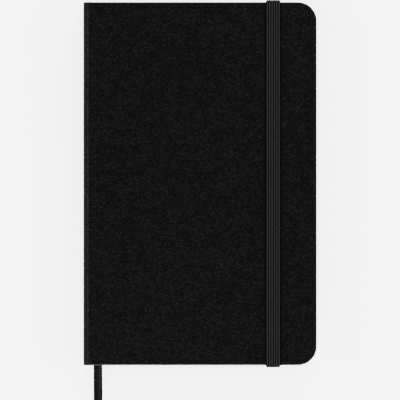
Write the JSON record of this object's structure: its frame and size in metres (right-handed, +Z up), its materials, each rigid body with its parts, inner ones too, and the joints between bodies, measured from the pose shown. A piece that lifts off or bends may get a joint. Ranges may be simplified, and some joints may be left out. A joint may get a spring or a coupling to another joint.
{
  "type": "pocket notebook",
  "caption": "Pocket notebook with rounded hard covers, a sewn block, an elastic closure, a ribbon marker and an inner rear pocket.",
  "frame": {"origin": "centre of the back cover's underside, on the surface that the notebook lies on", "axes": "+Z up out of the front cover; +Y along the spine to the head; +X from the spine to the fore edge"},
  "size_m": [0.09, 0.1546, 0.0156],
  "materials": {
    "cover_cloth": "matt fine-grained leatherette",
    "board": "raw grey-brown board",
    "endpaper": "smooth ivory paper",
    "pocket_card": "smooth ivory card",
    "pocket_cloth": "fine black bookcloth",
    "elastic": "ribbed knitted elastic",
    "page_paper": "uncoated ivory paper",
    "thread": "waxed linen",
    "mull_cloth": "open-weave cotton set in glue",
    "ribbon": "narrow woven ribbon"
  },
  "bodies": {
    "back_cover": {"back_board": "board", "back_cover_cloth": "cover_cloth", "back_pastedown": "endpaper", "rear_joint_cloth": "cover_cloth", "pocket_gusset_head": "pocket_cloth", "pocket_gusset_tail": "pocket_cloth", "band_head_end": "elastic", "band_tail_end": "elastic"},
    "elastic_head_arm": {"band_head_arm": "elastic"},
    "elastic_tail_arm": {"band_tail_arm": "elastic"},
    "pocket": {"pocket_panel": "pocket_card", "pocket_mouth_binding": "pocket_cloth"},
    "elastic_run": {"band_front_run": "elastic"},
    "text_block": {"rear_flyleaf": "endpaper", "signature_01": "page_paper", "signature_02": "page_paper", "signature_03": "page_paper", "signature_04": "page_paper", "signature_05": "page_paper", "signature_06": "page_paper", "signature_07": "page_paper", "signature_08": "page_paper", "signature_09": "page_paper", "signature_10": "page_paper", "signature_11": "page_paper", "signature_12": "page_paper", "sewing_thread": "thread", "mull": "mull_cloth", "spine_card": "board", "spine_cloth": "cover_cloth", "ribbon_marker": "ribbon"},
    "leaf_lower": {"leaf_2": "page_paper"},
    "leaf_upper": {"leaf_1": "page_paper"},
    "flyleaf": {"front_flyleaf": "endpaper"},
    "front_cover": {"front_pastedown": "endpaper", "front_board": "board", "front_cover_cloth": "cover_cloth", "front_joint_cloth": "cover_cloth"}
  },
  "joints": [
    {"name": "front_cover_opens", "type": "hinge", "parent": "text_block", "child": "front_cover", "pos_m": [-0.0437, 0, 0.01223], "axis": [0, -1, 0], "range_deg": [0, 180], "deforming": ["front_joint_cloth"]},
    {"name": "flyleaf_turns", "type": "hinge", "parent": "text_block", "child": "flyleaf", "pos_m": [-0.0437, 0, 0.01223], "axis": [0, -1, 0], "range_deg": [0, 180]},
    {"name": "upper_leaf_turns", "type": "hinge", "parent": "text_block", "child": "leaf_upper", "pos_m": [-0.0437, 0, 0.01223], "axis": [0, -1, 0], "range_deg": [0, 180]},
    {"name": "lower_leaf_turns", "type": "hinge", "parent": "text_block", "child": "leaf_lower", "pos_m": [-0.0437, 0, 0.01223], "axis": [0, -1, 0], "range_deg": [0, 180]},
    {"name": "block_lifts", "type": "hinge", "parent": "back_cover", "child": "text_block", "pos_m": [-0.0437, 0, 0.00245], "axis": [0, 1, 0], "range_deg": [-90, 0], "deforming": ["rear_joint_cloth"]},
    {"name": "pocket_opens", "type": "hinge", "parent": "back_cover", "child": "pocket", "pos_m": [0.0425, 0, 0.00285], "axis": [0, 1, 0], "range_deg": [0, 14], "deforming": ["pocket_gusset_head", "pocket_gusset_tail"]},
    {"name": "elastic_swings", "type": "hinge", "parent": "back_cover", "child": "elastic_run", "pos_m": [0.0285, 0, 0.00734], "axis": [0, 1, 0], "range_deg": [0, 180], "deforming": ["band_front_run"]},
    {"name": "head_arm_folds", "type": "hinge", "parent": "back_cover", "child": "elastic_head_arm", "pos_m": [0.0285, 0.07005, -0.0009], "axis": [1, 0, 0], "range_deg": [0, 90], "deforming": ["band_head_arm"]},
    {"name": "tail_arm_folds", "type": "hinge", "parent": "back_cover", "child": "elastic_tail_arm", "pos_m": [0.0285, -0.07005, -0.0009], "axis": [-1, 0, 0], "range_deg": [0, 90], "deforming": ["band_tail_arm"]}
  ],
  "couplings": [
    {"joint": "flyleaf_turns", "follows": "front_cover_opens", "ratio": 0.985},
    {"joint": "upper_leaf_turns", "follows": "front_cover_opens", "ratio": 0.955},
    {"joint": "lower_leaf_turns", "follows": "front_cover_opens", "ratio": 0.91},
    {"joint": "elastic_swings", "follows": "block_lifts", "ratio": -2},
    {"joint": "head_arm_folds", "follows": "block_lifts", "ratio": -1},
    {"joint": "tail_arm_folds", "follows": "block_lifts", "ratio": -1},
    {"joint": "pocket_opens", "follows": "block_lifts", "ratio": -0.15}
  ]
}
